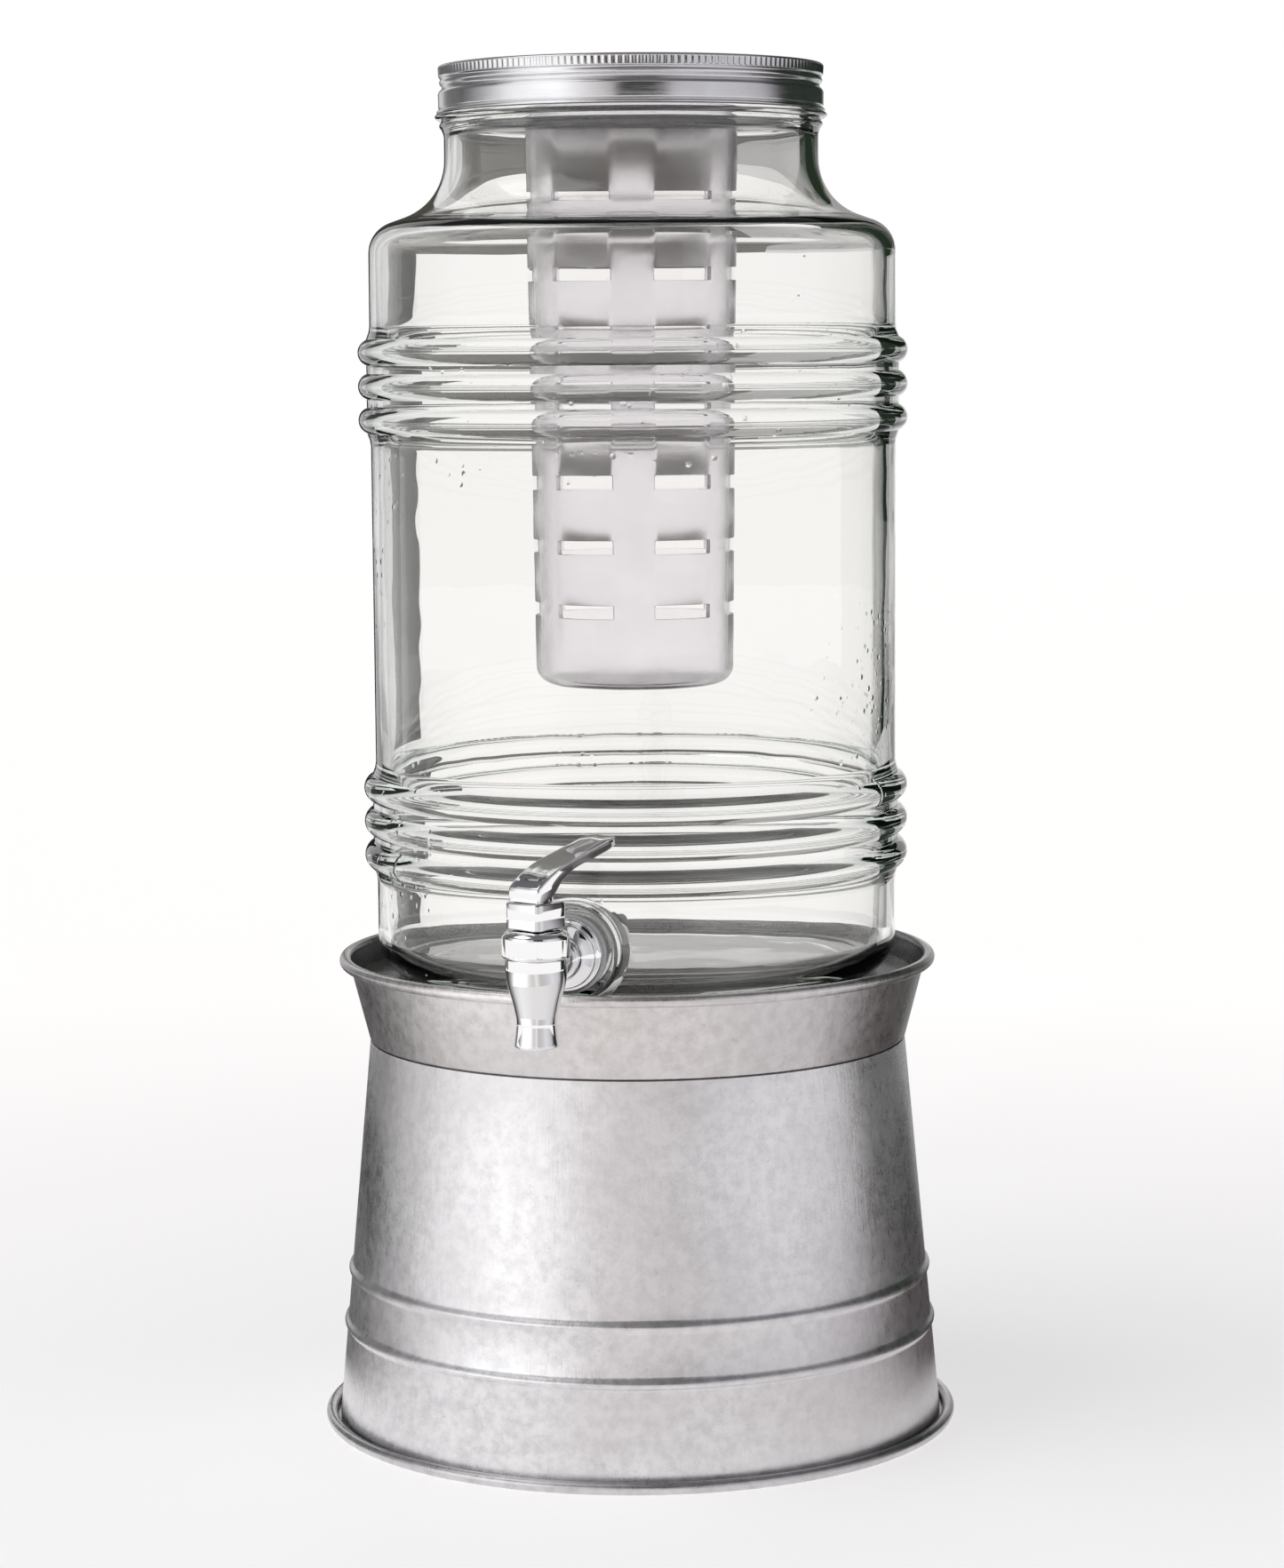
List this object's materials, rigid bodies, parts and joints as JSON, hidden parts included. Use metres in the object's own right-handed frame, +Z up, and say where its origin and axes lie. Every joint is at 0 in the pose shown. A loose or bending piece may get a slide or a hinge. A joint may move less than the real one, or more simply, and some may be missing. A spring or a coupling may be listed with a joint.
{
  "type": "beverage dispenser",
  "caption": "Ribbed clear glass drink jar with a screw lid, hanging slotted infuser and chrome lever spigot, standing in the flared collar of a conical galvanised-steel stand.",
  "frame": {"origin": "centre of the underside of the stand's base tray, on the jar's axis", "axes": "+Z up along the jar's axis; -Y towards the spigot; +X to the right of a person facing the spigot"},
  "size_m": [0.238, 0.2787, 0.508],
  "materials": {
    "galvanised_steel": "galvanised sheet, satin with faint mottling",
    "rim_wire": "bare drawn wire",
    "jar_glass": "clear pressed glass with a faint green edge",
    "spigot_chrome": "mirror chrome plate",
    "silicone": "translucent grey silicone",
    "nut_plastic": "satin white plastic",
    "spring_steel": "bright stainless wire",
    "stem_plastic": "satin white plastic",
    "lid_metal": "satin silver metal",
    "holder_plastic": "frosted plastic",
    "infuser_plastic": "clear lavender-grey plastic"
  },
  "bodies": {
    "stand": {"base_tray": "galvanised_steel", "tray_rim_wire": "rim_wire", "stand_cone": "galvanised_steel", "stand_collar": "galvanised_steel", "collar_rim_wire": "rim_wire", "stand_floor": "galvanised_steel"},
    "jar": {"glass_jar": "jar_glass", "spigot_body": "spigot_chrome", "bonnet": "spigot_chrome", "bonnet_seal": "silicone", "outer_washer": "silicone", "inner_washer": "silicone", "shank_nut": "nut_plastic", "valve_spring": "spring_steel"},
    "hub": {"handle_hub": "spigot_chrome"},
    "stem": {"valve_stem": "stem_plastic", "seat_cup": "silicone", "handle_pin": "spring_steel"},
    "handle": {"spigot_handle": "spigot_chrome"},
    "lid_seal": {"lid_gasket": "silicone"},
    "lid": {"lid_shell": "lid_metal", "infuser_holder": "holder_plastic"},
    "infuser": {"infuser_tube": "infuser_plastic"}
  },
  "joints": [
    {"name": "jar_lift", "type": "slide", "parent": "stand", "child": "jar", "axis": [0, 0, 1], "range_m": [0, 0.1]},
    {"name": "handle_swivel", "type": "hinge", "parent": "jar", "child": "hub", "pos_m": [0, -0.148, 0.2052], "axis": [0, 0, 1], "continuous": true},
    {"name": "valve_lift", "type": "slide", "parent": "hub", "child": "stem", "axis": [0, 0, 1], "range_m": [0, 0.0033], "deforming": ["valve_spring"]},
    {"name": "handle_tilt", "type": "hinge", "parent": "stem", "child": "handle", "pos_m": [0, -0.148, 0.21], "axis": [0.8949, -0.4462, 0], "range_deg": [0, 25], "stiffness_Nm_per_rad": 0.034, "springref_deg": -31.51},
    {"name": "lid_lift", "type": "slide", "parent": "jar", "child": "lid_seal", "axis": [0, 0, 1], "range_m": [0, 0.24]},
    {"name": "lid_turn", "type": "hinge", "parent": "lid_seal", "child": "lid", "pos_m": [0, 0, 0.5], "axis": [0, 0, 1], "continuous": true},
    {"name": "infuser_twist", "type": "hinge", "parent": "lid", "child": "infuser", "pos_m": [0, 0, 0.49], "axis": [0, 0, 1], "continuous": true}
  ],
  "couplings": [
    {"joint": "valve_lift", "follows": "handle_tilt", "m_per_rad": 0.0075}
  ]
}
